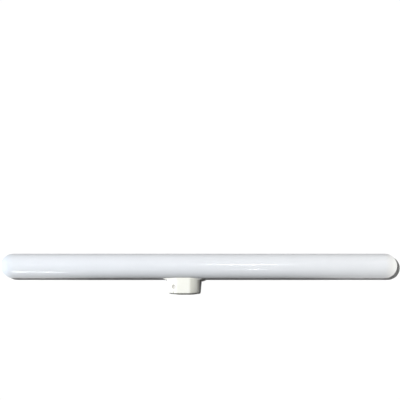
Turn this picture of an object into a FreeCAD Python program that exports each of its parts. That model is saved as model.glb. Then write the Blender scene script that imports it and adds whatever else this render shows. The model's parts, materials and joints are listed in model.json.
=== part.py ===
import FreeCAD, Part
import os
import re
import Sketcher

# Linear lamp in millimetres: an opal glass tube with one oblong push-in cap on its side.
#
# The lamp lies as it comes to rest, along X, on the underside of its tube and on the lower edge
# of its cap. Each piece is drawn in the cap's own frame: X runs along the tube, Z points out of
# the tube's axis through the cap, and Y points out of the cap's front flank, the one that faces
# up. The cap is the same when it is turned half round about Z, so it plugs in either way.

DRIVING_DIMENSIONS = [
    ("tube_length", 500.0, "glass tube over its two domed ends"),
    ("tube_radius", 15.5, "outside of the glass"),
    ("cap_shift", -20.0, "middle of the cap from the middle of the tube, along the tube"),
    ("cap_reach", 18.8, "end face of the cap beyond the glass"),
    ("cap_long", 41.0, "cap's section along the tube"),
    ("cap_thick", 14.0, "cap's section across its flat flanks"),
    ("cap_end_radius", 4.0, "narrow ends of the section"),
    ("cap_slope", 19.0, "turn of the facets between the flanks and the ends, in degrees"),
    ("corner_radius", 8.0, "soft corner between a flank and a facet"),
    ("cap_draft", 0.5, "taper of the cap's sides, in degrees"),
    ("cap_wall", 1.8, "moulded walls"),
    ("cap_edge_radius", 1.6, "edge of the end face"),
    ("lip_long", 51.0, "saddle lip along the tube"),
    ("lip_wide", 14.6, "saddle lip across the cap"),
    ("lip_end_radius", 4.0, "narrow ends of the saddle lip"),
    ("lip_slope", 14.0, "turn of the lip's facets, in degrees"),
    ("lip_thick", 1.5, "saddle lip under the peg"),
    ("lip_tip_thick", 0.3, "saddle lip at its two tips"),
    ("bond_thick", 0.4, "cement between the saddle and the glass"),
    ("bond_rise", 4.0, "cement inside the cap, above the glass"),
    ("contact_along", 12.0, "contact from the middle of the cap, along the tube"),
    ("contact_depth", 8.8, "contact from the end face of the cap"),
    ("contact_radius", 2.8, "contact's crown and the hole that it fills"),
    ("contact_sheet", 0.4, "sheet that the contact is pressed from"),
    ("contact_recess", 1.5, "contact's rim below the facet"),
    ("crown_height", 1.8, "contact's crown above its seat"),
    ("dish_depth", 0.9, "hollow in the crown, where the holder's spring rests"),
    ("dish_floor", 1.0, "flat floor of the hollow, from its middle"),
    ("brim_radius", 3.8, "contact's brim"),
    ("boss_radius", 4.4, "boss round the contact's hole, inside the cap"),
    ("tail_width", 3.0, "contact's soldering tail"),
    ("tail_reach", 1.2, "tail past the middle plane of the cap"),
    ("guide_radius", 1.3, "groove that guides the holder's spring over the cap's edge"),
    ("guide_depth", 1.6, "same groove at the end face"),
    ("guide_run", 5.0, "same groove along the facet"),
    ("neck_radius", 4.5, "side neck of the glass, inside the cap"),
    ("neck_rise", 5.0, "straight part of the neck above the glass"),
    ("pinch_run", 3.0, "neck from round to flat, and again the flat seal above it"),
    ("pinch_thick", 3.2, "flat seal"),
    ("lead_radius", 0.4, "lead wire"),
    ("lead_apart", 2.5, "lead wire at the seal, from the middle of the cap"),
    ("lead_depth", 3.7, "lead wire's run to the contact, from the end face of the cap"),
    ("lead_bend", 1.5, "bend of the lead wire"),
    ("solder_long", 3.2, "drop of solder along the wire"),
    ("solder_radius", 1.1, "drop of solder round the wire"),
]

SHEET = "dims"
ALIASES = {alias for alias, _, _ in DRIVING_DIMENSIONS}
WORD = re.compile("[a-z_]+")
TINY = 1e-3

# How a sketch names its own axes and origin, and the points of a line or an arc
LEVEL_AXIS = -1
UPRIGHT_AXIS = -2
ORIGIN = (-1, 1)
START = 1
END = 2
CENTRE = 3

# Lengths in the cap's frame, as formulas in the words of the sheet
END_FACE = "(tube_radius + cap_reach)"
PEG_ROOT = "(tube_radius / 2)"
SADDLE_RADIUS = "(tube_radius + bond_thick)"
LIP_RADIUS = f"({SADDLE_RADIUS} + lip_thick)"
CONTACT_LEVEL = f"({END_FACE} - contact_depth)"
LEAD_LEVEL = f"({END_FACE} - lead_depth)"
NECK_TOP = "(tube_radius + neck_rise)"
SEAL_FOOT = f"({NECK_TOP} + pinch_run)"
SEAL_TOP = f"({SEAL_FOOT} + pinch_run)"

PEG_SECTION = ("cap_long", "cap_thick", "cap_end_radius", "cap_slope")
LIP_SECTION = ("lip_long", "lip_wide", "lip_end_radius", "lip_slope")

# The contact sits square in the cap's facet. Its frame has its origin on the facet's face, and Y
# out of it. The middle line of the contact meets the cap's middle plane where the solder is.
FACET_REACH = "(cap_long / 2 - cap_end_radius - contact_along)"
FACET_FACE = f"({FACET_REACH} * tan(cap_slope * 1 deg) + cap_end_radius / cos(cap_slope * 1 deg))"
FACET_TURN = "rotation(vector(0; 0; 1); cap_slope * 1 deg)"
SEAT_DEPTH = "(contact_recess + crown_height)"
MIDDLE_DEPTH = f"({FACET_FACE} / cos(cap_slope * 1 deg))"
SOLDER_ALONG = f"(contact_along - {FACET_FACE} * tan(cap_slope * 1 deg))"

# The lamp rolls until the rounded lower edge of its cap meets the ground. The edge's centre is
# this far out of the tube's axis and this far to the side of the cap's middle plane.
EDGE_OUT = f"({END_FACE} - cap_edge_radius)"
TAPERED_OFF = f"(({EDGE_OUT} - {PEG_ROOT}) * tan(cap_draft * 1 deg))"
EDGE_ASIDE = f"(cap_thick / 2 - cap_edge_radius - {TAPERED_OFF})"
EDGE_AWAY = f"sqrt({EDGE_OUT}^2 + {EDGE_ASIDE}^2)"
EDGE_HEIGHT = "(tube_radius - cap_edge_radius)"
REST_TILT = f"(atan2({EDGE_OUT}; {EDGE_ASIDE}) - acos({EDGE_HEIGHT} / {EDGE_AWAY}))"
EDGE_FORWARD = f"({EDGE_OUT} * cos({REST_TILT}) + {EDGE_ASIDE} * sin({REST_TILT}))"
FORWARD_REACH = f"({EDGE_FORWARD} + cap_edge_radius)"
CAP_FRAME = (
    f"placement(vector(cap_shift; ({FORWARD_REACH} - tube_radius) / 2; tube_radius);"
    f" rotation(vector(1; 0; 0); 90 deg + {REST_TILT}))"
)
CONTACT_FRAME = f"placement(vector(-contact_along; {FACET_FACE}; {CONTACT_LEVEL}); {FACET_TURN})"
SOLDER_FRAME = f"placement(vector(-{SOLDER_ALONG}; 0; {LEAD_LEVEL}); rotation(vector(0; 0; 1); 0))"
FRONT = 0
REAR = 180

doc = FreeCAD.newDocument("linear_lamp")
sheet = doc.addObject("Spreadsheet::Sheet", SHEET)
for row, (alias, amount, meaning) in enumerate(DRIVING_DIMENSIONS, start=1):
    sheet.set(f"A{row}", meaning)
    sheet.set(f"B{row}", str(amount))
    sheet.setAlias(f"B{row}", alias)
doc.recompute()


def in_sheet(text):
    """A formula with each word of the sheet as a reference to its cell."""
    return WORD.sub(lambda word: f"{SHEET}.{word[0]}" if word[0] in ALIASES else word[0], text)


def number(text):
    return float(sheet.evalExpression(in_sheet(text)))


def vector(across, up):
    return FreeCAD.Vector(number(across), number(up), 0)


def bind(thing, path, text):
    thing.setExpression(path, in_sheet(text))


def bind_length(thing, path, text):
    bind(thing, path, f"({text}) * 1 mm")


def new_body(label, turn=FRONT, place=None):
    """A body in the cap's frame, turned about the cap's axis, or in a frame of its own there."""
    body = doc.addObject("PartDesign::Body", label)
    body.Label = label
    turned = f"placement(vector(0; 0; 0); rotation(vector(0; 0; 1); {turn}))"
    bind(body, "Placement", " * ".join(filter(None, (CAP_FRAME, turned, place))))
    return body


def new_sketch(body, name, plane="XY", level="0"):
    """A sketch on one of the body's own planes, moved along the plane's normal."""
    sketch = body.newObject("Sketcher::SketchObject", name)
    support = next(item for item in body.Origin.OriginFeatures if item.Role == f"{plane}_Plane")
    sketch.AttachmentSupport = [(support, "")]
    sketch.MapMode = "FlatFace"
    if level != "0":
        bind_length(sketch, "AttachmentOffset.Base.z", level)
    return sketch


def seat_sketch(body, name):
    """A sketch on the seat of the front contact, square to the contact's middle line."""
    sketch = new_sketch(body, name, "XZ")
    facet = f"vector(-contact_along; {CONTACT_LEVEL}; -{FACET_FACE})"
    turn = "rotation(vector(0; 1; 0); cap_slope * 1 deg)"
    sunk = f"placement(vector(0; 0; {SEAT_DEPTH}); rotation(vector(0; 1; 0); 0))"
    bind(sketch, "AttachmentOffset", f"placement({facet}; {turn}) * {sunk}")
    return sketch


def constrain(sketch, kind, *where):
    return sketch.addConstraint(Sketcher.Constraint(kind, *where))


def measure(sketch, kind, *where, text):
    """A constraint whose amount is a formula."""
    index = constrain(sketch, kind, *where, number(text))
    bind(sketch, f"Constraints[{index}]", text)


def pin(sketch, edge, end, across, up):
    """Holds a point of a sketch at two formulas. One that is 0 puts the point on the axis."""
    for kind, text, axis in (("DistanceX", across, UPRIGHT_AXIS), ("DistanceY", up, LEVEL_AXIS)):
        if text == "0":
            constrain(sketch, "PointOnObject", edge, end, axis)
        else:
            measure(sketch, kind, *ORIGIN, edge, end, text=text)


def outline(sketch, corners, arcs=None):
    """Closed sides from corner to corner. arcs has, for the number of a side, a point that the
    side passes through and either its radius or the axis that its centre is on."""
    arcs = arcs or {}
    sides = []
    for side, corner in enumerate(corners):
        start = vector(*corner)
        stop = vector(*corners[(side + 1) % len(corners)])
        forward = True
        if side in arcs:
            through, hold = arcs[side]
            middle = vector(*through)
            forward = (middle - start).cross(stop - middle).z > 0
            ends = (start, stop) if forward else (stop, start)
            edge = sketch.addGeometry(Part.Arc(ends[0], middle, ends[1]), False)
            if hold in (LEVEL_AXIS, UPRIGHT_AXIS):
                constrain(sketch, "PointOnObject", edge, CENTRE, hold)
            else:
                measure(sketch, "Radius", edge, text=hold)
        else:
            edge = sketch.addGeometry(Part.LineSegment(start, stop), False)
        sides.append((edge, START, END) if forward else (edge, END, START))
    for side, (edge, start, stop) in enumerate(sides):
        following, its_start, _ = sides[(side + 1) % len(sides)]
        pin(sketch, edge, start, *corners[side])
        constrain(sketch, "Coincident", edge, stop, following, its_start)


def rectangle(sketch, left, right, low, high):
    outline(sketch, [(left, low), (right, low), (right, high), (left, high)])


def circle(sketch, across, up, radius):
    whole = Part.Circle(vector(across, up), FreeCAD.Vector(0, 0, 1), number(radius))
    edge = sketch.addGeometry(whole, False)
    pin(sketch, edge, CENTRE, across, up)
    measure(sketch, "Radius", edge, text=radius)


def ellipse(sketch, half_long, half_short):
    """An ellipse about the origin, held by its two axes."""
    whole = Part.Ellipse(vector(half_long, "0"), vector("0", half_short), FreeCAD.Vector(0, 0, 0))
    edge = sketch.addGeometry(whole, False)
    sketch.exposeInternalGeometry(edge)
    pin(sketch, edge, CENTRE, "0", "0")
    constrain(sketch, "Horizontal", edge + 1)
    measure(sketch, "Distance", edge + 1, text=f"2 * {half_long}")
    measure(sketch, "Distance", edge + 2, text=f"2 * {half_short}")


def mirrored(point, right, high):
    """A point that is named in the upper right quarter of a sketch, in one of its quarters."""
    across, up = point
    return (across if right else f"-({across})", up if high else f"-({up})")


def section(sketch, long, thick, end_radius, slope, inset="0"):
    """The cap's section, or one that lies inside it. It has flat flanks and round ends, and
    between them facets that are turned by the slope and meet the flanks in soft corners."""
    sine = f"sin({slope} * 1 deg)"
    cosine = f"cos({slope} * 1 deg)"
    end_size = f"({end_radius} - {inset})"
    end_middle = f"({long} / 2 - {end_radius})"
    corner_size = f"(corner_radius - {inset})"
    corner_level = f"({thick} / 2 - corner_radius)"
    sink = f"({corner_level} * {cosine} + corner_radius - {end_radius})"
    corner_middle = f"({end_middle} - {sink} / {sine})"
    quarter = [
        (f"{end_middle} + {end_size} * {sine}", f"{end_size} * {cosine}"),
        (f"{corner_middle} + {corner_size} * {sine}", f"{corner_level} + {corner_size} * {cosine}"),
        (corner_middle, f"{thick} / 2 - {inset}"),
    ]
    half_turn = f"({slope} * 0.5 deg)"
    on_corner = (
        f"{corner_middle} + {corner_size} * sin({half_turn})",
        f"{corner_level} + {corner_size} * cos({half_turn})",
    )
    tip = (f"{long} / 2 - {inset}", "0")
    corners = []
    arcs = {}
    for right, high in ((True, True), (False, True), (False, False), (True, False)):
        first = len(corners)
        towards_end = right != high
        points = quarter[::-1] if towards_end else quarter
        corners += [mirrored(point, right, high) for point in points]
        arcs[first if towards_end else first + 1] = (mirrored(on_corner, right, high), corner_size)
        if towards_end:
            arcs[first + 2] = (mirrored(tip, right, high), end_size)
    outline(sketch, corners, arcs)


def volume(body):
    doc.recompute()
    return body.Shape.Volume


def feature(body, kind, name, profile):
    made = body.newObject(f"PartDesign::{kind}", name)
    made.Profile = profile
    return made


def pad(body, name, sketch, length, backwards=False):
    made = feature(body, "Pad", name, sketch)
    bind_length(made, "Length", length)
    made.Reversed = backwards
    return made


def revolve(body, name, sketch, axis):
    made = feature(body, "Revolution", name, sketch)
    made.ReferenceAxis = (sketch, [axis])
    made.Angle = 360
    return made


def must_cut(body, name, before):
    if volume(body) > before - TINY:
        raise RuntimeError(f"{name} cuts nothing")


def pocket(body, name, sketch, length, backwards=False):
    before = volume(body)
    made = feature(body, "Pocket", name, sketch)
    bind_length(made, "Length", length)
    made.Reversed = backwards
    must_cut(body, name, before)
    return made


def groove(body, name, sketch, axis):
    before = volume(body)
    made = feature(body, "Groove", name, sketch)
    made.ReferenceAxis = (sketch, [axis])
    made.Angle = 360
    must_cut(body, name, before)
    return made


def round_edges(body, name, radius, wanted):
    """Rounds those edges of the body that wanted says yes to."""
    doc.recompute()
    base = body.Tip
    edges = [f"Edge{count}" for count, edge in enumerate(base.Shape.Edges, start=1) if wanted(edge)]
    if not edges:
        raise RuntimeError(f"{name} finds no edge")
    made = body.newObject("PartDesign::Fillet", name)
    made.Base = (base, edges)
    bind_length(made, "Radius", radius)
    doc.recompute()
    return made


def make_glass_bulb():
    """One sealed piece of opal glass: the domed tube, and a side neck whose flat seal lets the
    two lead wires out."""
    body = new_body("glass_bulb")
    left = "-tube_length / 2 - cap_shift"
    right = "tube_length / 2 - cap_shift"
    diagonal = "tube_radius * sqrt(0.5)"
    corners = [
        (left, "0"),
        (right, "0"),
        (f"{right} - tube_radius", "tube_radius"),
        (f"{left} + tube_radius", "tube_radius"),
    ]
    domes = {
        1: ((f"{right} - tube_radius + {diagonal}", diagonal), LEVEL_AXIS),
        3: ((f"{left} + tube_radius - {diagonal}", diagonal), LEVEL_AXIS),
    }
    tube_outline = new_sketch(body, "tube_outline", "XZ")
    outline(tube_outline, corners, domes)
    revolve(body, "tube", tube_outline, "H_Axis")

    neck_outline = new_sketch(body, "neck_outline")
    circle(neck_outline, "0", "0", "neck_radius")
    pad(body, "neck", neck_outline, NECK_TOP)

    round_end = new_sketch(body, "pinch_round_end", level=NECK_TOP)
    circle(round_end, "0", "0", "neck_radius")
    flat_end = new_sketch(body, "pinch_flat_end", level=SEAL_FOOT)
    ellipse(flat_end, "neck_radius", "pinch_thick / 2")
    pinch = feature(body, "AdditiveLoft", "pinch", round_end)
    pinch.Sections = [flat_end]
    doc.recompute()

    seal_outline = new_sketch(body, "seal_outline", level=SEAL_FOOT)
    ellipse(seal_outline, "neck_radius", "pinch_thick / 2")
    pad(body, "seal", seal_outline, "pinch_run")
    return body


def saddle(body, name):
    """A block with the saddle's section, to be rounded to the tube."""
    plan = new_sketch(body, f"{name}_plan", level=PEG_ROOT)
    section(plan, *LIP_SECTION)
    return pad(body, f"{name}_block", plan, "tube_radius")


def cut_round_tube(body, name, low, high):
    """Cuts away a ring of room round the tube's axis, between two radii."""
    ring = new_sketch(body, f"{name}_outline", "XZ")
    rectangle(ring, "-lip_long", "lip_long", low, high)
    return groove(body, name, ring, "H_Axis")


def thin_lip(body):
    """Rounds the lip to the tube, with a ramp from each end of the peg down to the lip's tip."""
    tip = f"({SADDLE_RADIUS} + lip_tip_thick)"
    corners = [
        ("-lip_long", tip),
        ("-lip_long / 2", tip),
        ("-cap_long / 2", LIP_RADIUS),
        ("cap_long / 2", LIP_RADIUS),
        ("lip_long / 2", tip),
        ("lip_long", tip),
        ("lip_long", "2 * tube_radius"),
        ("-lip_long", "2 * tube_radius"),
    ]
    ring = new_sketch(body, "lip_outline", "XZ")
    outline(ring, corners)
    groove(body, "lip", ring, "H_Axis")


def cut_guide(body):
    """A round groove that leans in from the facet to the end face."""
    lean = "atan2(guide_depth; guide_run)"
    before = volume(body)
    guide = body.newObject("PartDesign::SubtractiveCylinder", "guide")
    bind_length(guide, "Radius", "guide_radius")
    bind_length(guide, "Height", "4 * guide_run")
    facet = f"placement(vector(-contact_along; {FACET_FACE}; {END_FACE}); {FACET_TURN})"
    start = "vector(0; guide_radius - 2 * guide_depth; guide_run)"
    leaning = f"placement({start}; rotation(vector(1; 0; 0); 180 deg + {lean}))"
    bind(guide, "Placement", f"{facet} * {leaning}")
    must_cut(body, "guide", before)
    return guide


def make_cap_body():
    """The moulded cap: a hollow long peg on a thin saddle lip. One facet of each flank has a
    hole for a contact, in a boss, and a groove that guides the holder's spring to it."""
    body = new_body("cap_body")
    saddle(body, "lip")
    thin_lip(body)
    peg_outline = new_sketch(body, "peg_outline", level=PEG_ROOT)
    section(peg_outline, *PEG_SECTION)
    peg = pad(body, "peg", peg_outline, f"{END_FACE} - {PEG_ROOT}")
    bind(peg, "TaperAngle", "-cap_draft * 1 deg")
    end_face = number(END_FACE)

    def at_end_face(edge):
        return all(abs(vertex.Point.z - end_face) < TINY for vertex in edge.Vertexes)

    round_edges(body, "end_rounding", "cap_edge_radius", at_end_face)
    cut_round_tube(body, "seat", "0", SADDLE_RADIUS)

    hollow_outline = new_sketch(body, "hollow_outline")
    section(hollow_outline, *PEG_SECTION, inset="cap_wall")
    pocket(body, "hollow", hollow_outline, f"{END_FACE} - cap_wall", backwards=True)

    boss_outline = seat_sketch(body, "boss_outline")
    circle(boss_outline, "0", "0", "boss_radius")
    boss = pad(body, "boss", boss_outline, f"{SEAT_DEPTH} - cap_wall / 2", backwards=True)
    hole_outline = seat_sketch(body, "hole_outline")
    circle(hole_outline, "0", "0", "contact_radius")
    hole = pocket(body, "hole", hole_outline, "cap_thick")
    guide = cut_guide(body)

    both_flanks = body.newObject("PartDesign::PolarPattern", "both_flanks")
    both_flanks.Originals = [boss, hole, guide]
    both_flanks.Axis = (hollow_outline, ["N_Axis"])
    both_flanks.Angle = 360
    both_flanks.Occurrences = 2
    body.Tip = both_flanks
    return body


def make_cap_cement():
    """The cement that holds the cap: a skin under the saddle, and a plug round the glass neck."""
    body = new_body("cap_cement")
    saddle(body, "skin")
    cut_round_tube(body, "skin", SADDLE_RADIUS, "2 * tube_radius")
    plug_outline = new_sketch(body, "plug_outline", level=PEG_ROOT)
    section(plug_outline, *PEG_SECTION, inset="cap_wall")
    pad(body, "plug", plug_outline, f"tube_radius + bond_rise - {PEG_ROOT}")
    cut_round_tube(body, "tube_room", "0", "tube_radius")
    neck_room = new_sketch(body, "neck_room_outline")
    circle(neck_room, "0", "0", "neck_radius")
    pocket(body, "neck_room", neck_room, NECK_TOP, backwards=True)
    return body


def make_contact(label, turn):
    """A contact pressed from sheet, like a hat: its brim seats behind the hole, its crown fills
    the hole and is dished for the holder's spring, and its tail is folded over the lead wire.
    Its own Y is the middle of the hole, and points out of the facet."""
    body = new_body(label, turn, CONTACT_FRAME)
    inner = "(contact_radius - contact_sheet)"
    rim = "-contact_recess"
    seat = f"-{SEAT_DEPTH}"
    brim_face = f"{seat} - contact_sheet"
    corners = [
        ("0", f"{rim} - dish_depth"),
        ("0", f"{rim} - dish_depth - contact_sheet"),
        ("dish_floor", f"{rim} - dish_depth - contact_sheet"),
        (inner, f"{rim} - contact_sheet"),
        (inner, brim_face),
        ("brim_radius", brim_face),
        ("brim_radius", seat),
        ("contact_radius", seat),
        ("contact_radius", rim),
        ("dish_floor", f"{rim} - dish_depth"),
    ]
    hat_outline = new_sketch(body, f"{label}_outline")
    outline(hat_outline, corners)
    revolve(body, f"{label}_hat", hat_outline, "V_Axis")

    fold = f"({LEAD_LEVEL} - {CONTACT_LEVEL} + lead_radius)"
    half_tail = "tail_width / 2"
    tail_outline = new_sketch(body, f"{label}_tail_outline", "XZ", SEAT_DEPTH)
    rectangle(tail_outline, f"-{half_tail}", half_tail, inner, f"{fold} + contact_sheet")
    pad(body, f"{label}_tail", tail_outline, "contact_sheet")
    fold_outline = new_sketch(body, f"{label}_fold_outline", level=fold)
    rectangle(fold_outline, f"-{half_tail}", half_tail, f"-{MIDDLE_DEPTH} - tail_reach", seat)
    pad(body, f"{label}_fold", fold_outline, "contact_sheet")
    return body


def make_lead_wire(label, turn):
    """A wire that stands out of the glass seal and bends to its contact."""
    body = new_body(label, turn)
    path = new_sketch(body, f"{label}_path", "XZ")
    start = ("-lead_apart", SEAL_TOP)
    stop = (f"-{SOLDER_ALONG} - tail_width / 2", LEAD_LEVEL)
    corner = ("-lead_apart", f"{LEAD_LEVEL} - lead_bend")
    beside = ("-lead_apart - lead_bend", LEAD_LEVEL)
    inward = "lead_bend * (1 - sqrt(0.5))"
    through = (f"-lead_apart - {inward}", f"{LEAD_LEVEL} - {inward}")
    rise = sketch_line(path, start, corner)
    bend = path.addGeometry(Part.Arc(vector(*corner), vector(*through), vector(*beside)), False)
    run = sketch_line(path, beside, stop)
    constrain(path, "Tangent", rise, END, bend, START)
    constrain(path, "Tangent", bend, END, run, START)
    constrain(path, "Vertical", rise)
    constrain(path, "Horizontal", run)
    measure(path, "Radius", bend, text="lead_bend")
    pin(path, rise, START, *start)
    pin(path, run, END, *stop)
    section = new_sketch(body, f"{label}_section", level=SEAL_TOP)
    circle(section, "-lead_apart", "0", "lead_radius")
    wire = feature(body, "AdditivePipe", f"{label}_wire", section)
    wire.Spine = (path, ["Edge1", "Edge2", "Edge3"])
    return body


def sketch_line(sketch, start, stop):
    return sketch.addGeometry(Part.LineSegment(vector(*start), vector(*stop)), False)


def make_solder(label, turn):
    """A drop of solder round the end of a lead wire, under the fold of the contact's tail."""
    body = new_body(label, turn, SOLDER_FRAME)
    drop_outline = new_sketch(body, f"{label}_outline")
    corners = [
        ("-solder_long / 2", "lead_radius"),
        ("solder_long / 2", "lead_radius"),
        ("solder_long / 4", "solder_radius"),
        ("-solder_long / 4", "solder_radius"),
    ]
    outline(drop_outline, corners)
    revolve(body, f"{label}_drop", drop_outline, "H_Axis")
    above = new_sketch(body, f"{label}_room", level="lead_radius")
    rectangle(above, "-solder_long", "solder_long", "-solder_long", "solder_long")
    pocket(body, f"{label}_flat", above, "solder_radius", backwards=True)
    return body


def check(pieces):
    """Stops if an object of the document has failed, or a piece isn't one valid solid."""
    doc.recompute()
    for thing in doc.Objects:
        if "Invalid" in thing.State or "Error" in thing.State:
            raise RuntimeError(f"{thing.Name} is {thing.State}")
    for piece in pieces:
        shape = piece.Shape
        if shape.isNull() or not shape.isValid() or len(shape.Solids) != 1:
            raise RuntimeError(f"{piece.Label} isn't one valid solid")


pieces = [make_glass_bulb(), make_cap_body(), make_cap_cement()]
for side, turn in (("front", FRONT), ("rear", REAR)):
    pieces.append(make_contact(f"contact_{side}", turn))
    pieces.append(make_lead_wire(f"lead_wire_{side}", turn))
    pieces.append(make_solder(f"solder_{side}", turn))
check(pieces)
os.makedirs("parts", exist_ok=True)
for piece in pieces:
    piece.Shape.exportStep(f"parts/{piece.Label}.step")
    print(f"{piece.Label}: {piece.Shape.Volume:.1f} cubic mm")
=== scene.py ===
import json
import math

import bpy
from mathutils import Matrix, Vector


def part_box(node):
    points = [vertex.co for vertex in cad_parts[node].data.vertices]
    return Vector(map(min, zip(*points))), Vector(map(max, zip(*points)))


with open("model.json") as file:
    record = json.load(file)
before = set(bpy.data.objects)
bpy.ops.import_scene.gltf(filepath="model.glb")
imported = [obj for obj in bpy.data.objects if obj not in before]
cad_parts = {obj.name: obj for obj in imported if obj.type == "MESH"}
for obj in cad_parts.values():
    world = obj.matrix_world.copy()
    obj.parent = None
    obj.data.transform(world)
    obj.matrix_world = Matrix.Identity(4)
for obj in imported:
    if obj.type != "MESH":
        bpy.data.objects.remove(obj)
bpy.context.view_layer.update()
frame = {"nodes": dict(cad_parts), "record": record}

# A linear opal bulb, lying on a pale floor and seen from above. Lengths are in metres, and leans
# and turns in degrees, unless a name says otherwise.

NODES = frame["nodes"]
MOUNTS = {mount["name"]: mount for mount in frame["record"]["mounts"]}

# The bulb's own measures, from the frame
TUBE_LOW, TUBE_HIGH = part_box("glass_bulb")
TUBE_RADIUS = (TUBE_HIGH.z - TUBE_LOW.z) / 2
TUBE_LENGTH = TUBE_HIGH.x - TUBE_LOW.x
TUBE_CENTRE = Vector((0, TUBE_HIGH.y - TUBE_RADIUS, TUBE_RADIUS))
CAP_OUT = Vector(MOUNTS["cap_end"]["axis"])

# The picture's width, and where in it the tube's two ends and its middle line lie
PICTURE_PX = 400
TUBE_LEFT_PX = 1.1
TUBE_RIGHT_PX = 397.0
TUBE_MIDDLE_PX = 265.95
PIXEL = TUBE_LENGTH / (TUBE_RIGHT_PX - TUBE_LEFT_PX)

# How far above the plane of the cap's end the camera stands, as an angle at the bulb
ABOVE_END_PLANE = math.radians(10.5)
LENS_MM = 200
SENSOR_MM = 36

WHITE = (1, 1, 1, 1)


def make_camera():
    """A long lens above the bulb, aimed past it so that the tube lies low in the picture."""
    cap_tilt = math.atan2(-CAP_OUT.z, -CAP_OUT.y)
    elevation = math.pi / 2 - cap_tilt + ABOVE_END_PLANE
    to_camera = Vector((0, -math.cos(elevation), math.sin(elevation)))
    picture_up = Vector((0, math.sin(elevation), math.cos(elevation)))
    distance = PICTURE_PX * PIXEL * LENS_MM / SENSOR_MM
    aim = TUBE_CENTRE + picture_up * (TUBE_MIDDLE_PX - PICTURE_PX / 2) * PIXEL
    aim.x += (PICTURE_PX / 2 - (TUBE_LEFT_PX + TUBE_RIGHT_PX) / 2) * PIXEL
    data = bpy.data.cameras.new("camera")
    data.lens = LENS_MM
    data.sensor_width = SENSOR_MM
    camera = bpy.data.objects.new("camera", data)
    bpy.context.scene.collection.objects.link(camera)
    camera.location = TUBE_CENTRE + to_camera * distance
    camera.location.x = aim.x
    camera.rotation_euler = (aim - camera.location).to_track_quat("-Z", "Y").to_euler()
    bpy.context.scene.camera = camera


def new_material(name):
    material = bpy.data.materials.new(name)
    material.use_nodes = True
    material.node_tree.nodes.clear()
    return material, material.node_tree


def add(tree, kind, **settings):
    """A node with its properties set, and its input sockets, whose names have underscores here."""
    node = tree.nodes.new(kind)
    for name, value in settings.items():
        socket = node.inputs.get(name.replace("_", " "))
        if socket is None:
            setattr(node, name, value)
        else:
            socket.default_value = value
    return node


def calculated(tree, operation, *numbers):
    """The result of one operation on numbers from other nodes."""
    step = add(tree, "ShaderNodeMath", operation=operation)
    for number, socket in zip(numbers, step.inputs):
        tree.links.new(number, socket)
    return step.outputs[0]


def mapped(tree, number, before=(0, 1), after=(0, 1)):
    """A number taken from one range to another, and kept inside it."""
    step = add(tree, "ShaderNodeMapRange", From_Min=before[0], From_Max=before[1],
               To_Min=after[0], To_Max=after[1])
    tree.links.new(number, step.inputs["Value"])
    return step.outputs[0]


def seen_directly(tree):
    """1 for a ray from the camera, also through a reflection or glass, and otherwise 0."""
    path = add(tree, "ShaderNodeLightPath")
    seen = path.outputs["Is Camera Ray"]
    for kind in ("Is Glossy Ray", "Is Transmission Ray"):
        seen = calculated(tree, "MAXIMUM", seen, path.outputs[kind])
    return seen


def show(tree, output_kind, seen, lighting):
    """Shows one shader in the picture, and lets the other one light the scene."""
    choose = add(tree, "ShaderNodeMixShader")
    tree.links.new(seen_directly(tree), choose.inputs[0])
    tree.links.new(lighting.outputs[0], choose.inputs[1])
    tree.links.new(seen.outputs[0], choose.inputs[2])
    output = add(tree, output_kind)
    tree.links.new(choose.outputs[0], output.inputs["Surface"])


FLOOR_SIZE = 6.0
# The floor's grey where it is seen
FLOOR_PALE = 0.86
# How much light it sends back: little, but much in front of the bulb's two ends
FLOOR_BOUNCE = 0.22
FRONT_BOUNCE = 0.95
# Where that changes: how far along from the bulb's middle, and at which Y
BOUNCE_ALONG = (0.145, 0.175)
BOUNCE_FRONT = (0.0, -0.02)


def floor_bounce(tree):
    """How much light the floor sends back at each place."""
    place = add(tree, "ShaderNodeTexCoord")
    parts = add(tree, "ShaderNodeSeparateXYZ")
    tree.links.new(place.outputs["Object"], parts.inputs[0])
    along = calculated(tree, "ABSOLUTE", parts.outputs["X"])
    at_ends = mapped(tree, along, BOUNCE_ALONG)
    in_front = mapped(tree, parts.outputs["Y"], BOUNCE_FRONT)
    strong = calculated(tree, "MULTIPLY", at_ends, in_front)
    return mapped(tree, strong, after=(FLOOR_BOUNCE, FRONT_BOUNCE))


def make_floor():
    """A pale floor, which the picture shows white where it is lit. It sends little light back on to
    the bulb, except in front of its two ends, where the photograph shows more."""
    half = FLOOR_SIZE / 2
    corners = [(-half, -half, 0), (half, -half, 0), (half, half, 0), (-half, half, 0)]
    mesh = bpy.data.meshes.new("floor")
    mesh.from_pydata(corners, [], [(0, 1, 2, 3)])
    floor = bpy.data.objects.new("floor", mesh)
    bpy.context.scene.collection.objects.link(floor)
    material, tree = new_material("floor")
    pale = add(tree, "ShaderNodeBsdfDiffuse", Color=(FLOOR_PALE, FLOOR_PALE, FLOOR_PALE, 1))
    grey = add(tree, "ShaderNodeBsdfDiffuse")
    tree.links.new(floor_bounce(tree), grey.inputs["Color"])
    show(tree, "ShaderNodeOutputMaterial", seen=pale, lighting=grey)
    mesh.materials.append(material)
    return floor


# How bright the room is for what it lights
ROOM_LIGHT = 0.08


def make_world():
    """White where it is seen, and dim for what it lights."""
    world = bpy.data.worlds.new("studio")
    world.use_nodes = True
    tree = world.node_tree
    tree.nodes.clear()
    backdrop = add(tree, "ShaderNodeBackground", Color=WHITE)
    room = add(tree, "ShaderNodeBackground", Color=WHITE, Strength=ROOM_LIGHT)
    show(tree, "ShaderNodeOutputWorld", seen=backdrop, lighting=room)
    bpy.context.scene.world = world


LAMP_DISTANCE = 2.0
# The power with which a lamp there makes a white surface that faces it look white
FULL_POWER = (math.pi * LAMP_DISTANCE) ** 2
# A spotlight needs more, as its power counts for all directions
SPOT_FACTOR = 4


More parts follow.
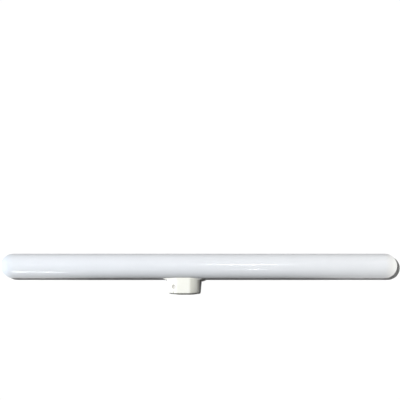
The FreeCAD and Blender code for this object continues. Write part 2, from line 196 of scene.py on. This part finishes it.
def leaning(right, back):
    """The direction to a lamp that leans this far from overhead."""
    across, away = math.tan(math.radians(right)), math.tan(math.radians(back))
    return Vector((across, away, 1)).normalized()


def light_only(lamp, things):
    """Lets a lamp light only these objects."""
    group = bpy.data.collections.new(f"{lamp.name}_lights")
    for thing in things:
        group.objects.link(thing)
    lamp.light_linking.receiver_collection = group


def add_lamp(name, kind, direction, distance=LAMP_DISTANCE):
    data = bpy.data.lights.new(name, kind)
    lamp = bpy.data.objects.new(name, data)
    bpy.context.scene.collection.objects.link(lamp)
    lamp.location = TUBE_CENTRE + direction * distance
    lamp.rotation_euler = (-direction).to_track_quat("-Z", "Y").to_euler()
    lamp.visible_camera = False
    return lamp


# The glass is lit apart from the cap and what the cap holds
GLASS = ("glass_bulb",)
CAP = tuple(name for name in NODES if name not in GLASS)
LAMP_WIDTH = 0.5
# Soft round lamps: how far each leans from overhead to the right and to the back, how bright it
# makes a white surface that faces it, its colour, and the nodes that it lights
LAMPS = {
    "left": dict(right=-63, back=0, brightness=0.72, colour=(0.85, 1.0, 1.09), nodes=GLASS),
    "overhead": dict(right=-15, back=10, brightness=0.385, colour=(1.03, 0.985, 1.06), nodes=GLASS),
    "right": dict(right=65, back=10, brightness=0.69, colour=(1.03, 1.05, 0.98), nodes=GLASS),
    "back": dict(right=0, back=60, brightness=0.06, colour=(1, 1, 1), nodes=GLASS),
    "cap_left": dict(right=-60, back=0, brightness=0.9, colour=(0.98, 0.99, 1.12), nodes=CAP),
}


def add_soft_lamp(name, right, back, brightness, colour, nodes):
    lamp = add_lamp(name, "AREA", leaning(right, back))
    lamp.data.shape = "DISK"
    lamp.data.size = LAMP_WIDTH
    lamp.data.energy = brightness * FULL_POWER
    lamp.data.color = colour
    lamp.visible_glossy = False
    light_only(lamp, [NODES[node] for node in nodes])


# A spotlight straight above the cap, whose soft edge falls on the cap's right end
SPOT_BRIGHTNESS = 0.52
SPOT_COLOUR = (1, 1, 0.89)
# How far to the left of the cap's middle it hangs, and what share of its lit radius is soft
SPOT_SHIFT = 0.006
SPOT_SOFT = 0.8
SPOT_LIT_RADIUS = 0.029
SPOT_OWN_RADIUS = 0.004


def add_spotlight():
    lamp = add_lamp("cap_overhead", "SPOT", leaning(0, 0))
    cap_low, cap_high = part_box("cap_body")
    lamp.location.x = (cap_low.x + cap_high.x) / 2 - SPOT_SHIFT
    lamp.location.y = (cap_low.y + cap_high.y) / 2
    lamp.data.spot_size = 2 * math.atan(SPOT_LIT_RADIUS / LAMP_DISTANCE)
    lamp.data.spot_blend = SPOT_SOFT
    lamp.data.shadow_soft_size = SPOT_OWN_RADIUS
    lamp.data.energy = SPOT_FACTOR * SPOT_BRIGHTNESS * FULL_POWER
    lamp.data.color = SPOT_COLOUR
    lamp.visible_glossy = False
    light_only(lamp, [NODES[node] for node in CAP])


STREAK_DISTANCE = 1.2
STREAK_WIDTH = 0.12
# Narrow lamps that show only as streaks in the glass: how far each leans to the back, how far
# along the bulb it hangs, its length, and its strength for its length and width
STREAKS = {
    "streak_long": dict(back=8.6, along=0.072, length=0.165, strength=52, turn=-25, shape="RECTANGLE"),
    "streak_short": dict(back=-38.9, along=0.092, length=0.032, strength=75),
    "streak_far_left": dict(back=-64.4, along=-0.316, length=0.045, strength=115),
    "streak_left": dict(back=-64.8, along=-0.256, length=0.028, strength=125),
}


def add_streak(name, back, along, length, strength, turn=0, shape="ELLIPSE"):
    lamp = add_lamp(name, "AREA", leaning(0, back), STREAK_DISTANCE)
    lamp.location.x += along
    lamp.rotation_euler.rotate_axis("Z", math.radians(turn))
    lamp.data.shape = shape
    lamp.data.size = length
    lamp.data.size_y = STREAK_WIDTH
    lamp.data.energy = strength * math.pi * length * STREAK_WIDTH
    lamp.visible_diffuse = False
    light_only(lamp, [NODES[node] for node in GLASS])


# Sunlight on the floor alone: its lean to the right and to the back, how wide the sun looks, and
# about how bright it makes the floor in the picture, where 1 is white
SUN_LEAN = (-15.2, 3.4)
SUN_ANGLE = math.radians(1.5)
FLOOR_LIT = 1.05


def add_sun(floor):
    lamp = add_lamp("floor_lamp", "SUN", leaning(*SUN_LEAN))
    lamp.data.energy = math.pi * (FLOOR_LIT / FLOOR_PALE - ROOM_LIGHT)
    lamp.data.angle = SUN_ANGLE
    light_only(lamp, [floor])


def make_lights(floor):
    for name, settings in LAMPS.items():
        add_soft_lamp(name, **settings)
    add_spotlight()
    for name, settings in STREAKS.items():
        add_streak(name, **settings)
    add_sun(floor)


NOISE_DETAIL = 3
# Most of the noise lies between these
NOISE_REACH = (0.3, 0.7)


def noise(tree, size):
    """Soft marks of this size along X, Y and Z, in the bulb's own coordinates."""
    place = add(tree, "ShaderNodeTexCoord")
    scaled = add(tree, "ShaderNodeMapping", Scale=[1 / length for length in size])
    tree.links.new(place.outputs["Object"], scaled.inputs["Vector"])
    marks = add(tree, "ShaderNodeTexNoise", Scale=1, Detail=NOISE_DETAIL)
    tree.links.new(scaled.outputs[0], marks.inputs["Vector"])
    return marks.outputs["Fac"]


def blended(tree, share, colours):
    """A colour between two others."""
    mix = add(tree, "ShaderNodeMix", data_type="RGBA")
    sockets = [socket for socket in mix.inputs if socket.type == "RGBA"]
    for colour, socket in zip(colours, sockets):
        socket.default_value = (*colour, 1)
    tree.links.new(share, mix.inputs["Factor"])
    return next(socket for socket in mix.outputs if socket.type == "RGBA")


def finish(name, colours, roughness, patch, grain, depth, **values):
    """A surface whose colour and roughness drift between two values, in patches of one size. Its
    grain has marks of another size and depth. The other values go to the shader's own sockets."""
    material, tree = new_material(name)
    shader = add(tree, "ShaderNodeBsdfPrincipled", **values)
    output = add(tree, "ShaderNodeOutputMaterial")
    tree.links.new(shader.outputs[0], output.inputs["Surface"])
    patches = noise(tree, (patch, patch, patch))
    colour = blended(tree, mapped(tree, patches, NOISE_REACH), colours)
    tree.links.new(colour, shader.inputs["Base Color"])
    tree.links.new(mapped(tree, patches, NOISE_REACH, roughness), shader.inputs["Roughness"])
    bump = add(tree, "ShaderNodeBump", Strength=1, Distance=depth)
    tree.links.new(noise(tree, grain), bump.inputs["Height"])
    tree.links.new(bump.outputs[0], shader.inputs["Normal"])
    if shader.inputs["Coat Weight"].default_value:
        tree.links.new(bump.outputs[0], shader.inputs["Coat Normal"])
    return material


def opal_glass():
    """White glass, frosted inside: a matt body under a thin gloss, with faint lengthwise waves from
    the drawing of the tube."""
    return finish("opal_glass", colours=((0.79, 0.79, 0.8), (0.81, 0.81, 0.82)),
                  roughness=(0.45, 0.55), patch=0.02, grain=(0.09, 0.004, 0.004), depth=2.5e-5,
                  Specular_IOR_Level=0.0, Coat_Weight=0.3, Coat_Roughness=0.1)


def cap_plastic():
    """Heat-proof moulding, cream white, with a fine moulded texture."""
    return finish("cap_plastic", colours=((0.93, 0.933, 0.862), (0.95, 0.956, 0.898)),
                  roughness=(0.36, 0.46), patch=0.006, grain=(0.0003, 0.0003, 0.0003), depth=1.0e-5,
                  Specular_IOR_Level=0.2)


def cement():
    """Gritty, pale grey-brown filling."""
    return finish("cement", colours=((0.7, 0.68, 0.61), (0.84, 0.82, 0.77)),
                  roughness=(0.8, 0.95), patch=0.001, grain=(0.0005, 0.0005, 0.0005), depth=8.0e-5,
                  Specular_IOR_Level=0.2)


def contact_metal():
    """Plated sheet with fine rubbing marks."""
    return finish("contact_metal", colours=((0.68, 0.67, 0.64), (0.78, 0.77, 0.75)),
                  roughness=(0.28, 0.42), patch=0.0012, grain=(0.0015, 0.00015, 0.0004), depth=0.6e-5,
                  Metallic=0.4)


def lead_metal():
    """Drawn wire, a little yellow."""
    return finish("lead_metal", colours=((0.69, 0.65, 0.56), (0.79, 0.75, 0.68)),
                  roughness=(0.3, 0.44), patch=0.001, grain=(0.0002, 0.001, 0.0002), depth=0.5e-5,
                  Metallic=1)


def solder():
    """Dull grey drops, with patches that froze brighter."""
    return finish("solder", colours=((0.58, 0.59, 0.61), (0.73, 0.74, 0.76)),
                  roughness=(0.34, 0.58), patch=0.0012, grain=(0.0007, 0.0007, 0.0007), depth=3.0e-5,
                  Metallic=1)


def dress():
    finishes = {
        "opal_glass": opal_glass(),
        "cap_plastic": cap_plastic(),
        "cement": cement(),
        "contact_metal": contact_metal(),
        "lead_metal": lead_metal(),
        "solder": solder(),
    }
    for part in frame["record"]["subparts"]:
        piece = NODES[part["node"]]
        piece.data.materials.clear()
        piece.data.materials.append(finishes[part["material_slot"]])


make_camera()
make_world()
make_lights(make_floor())
dress()

bpy.context.scene.view_settings.view_transform = "Standard"
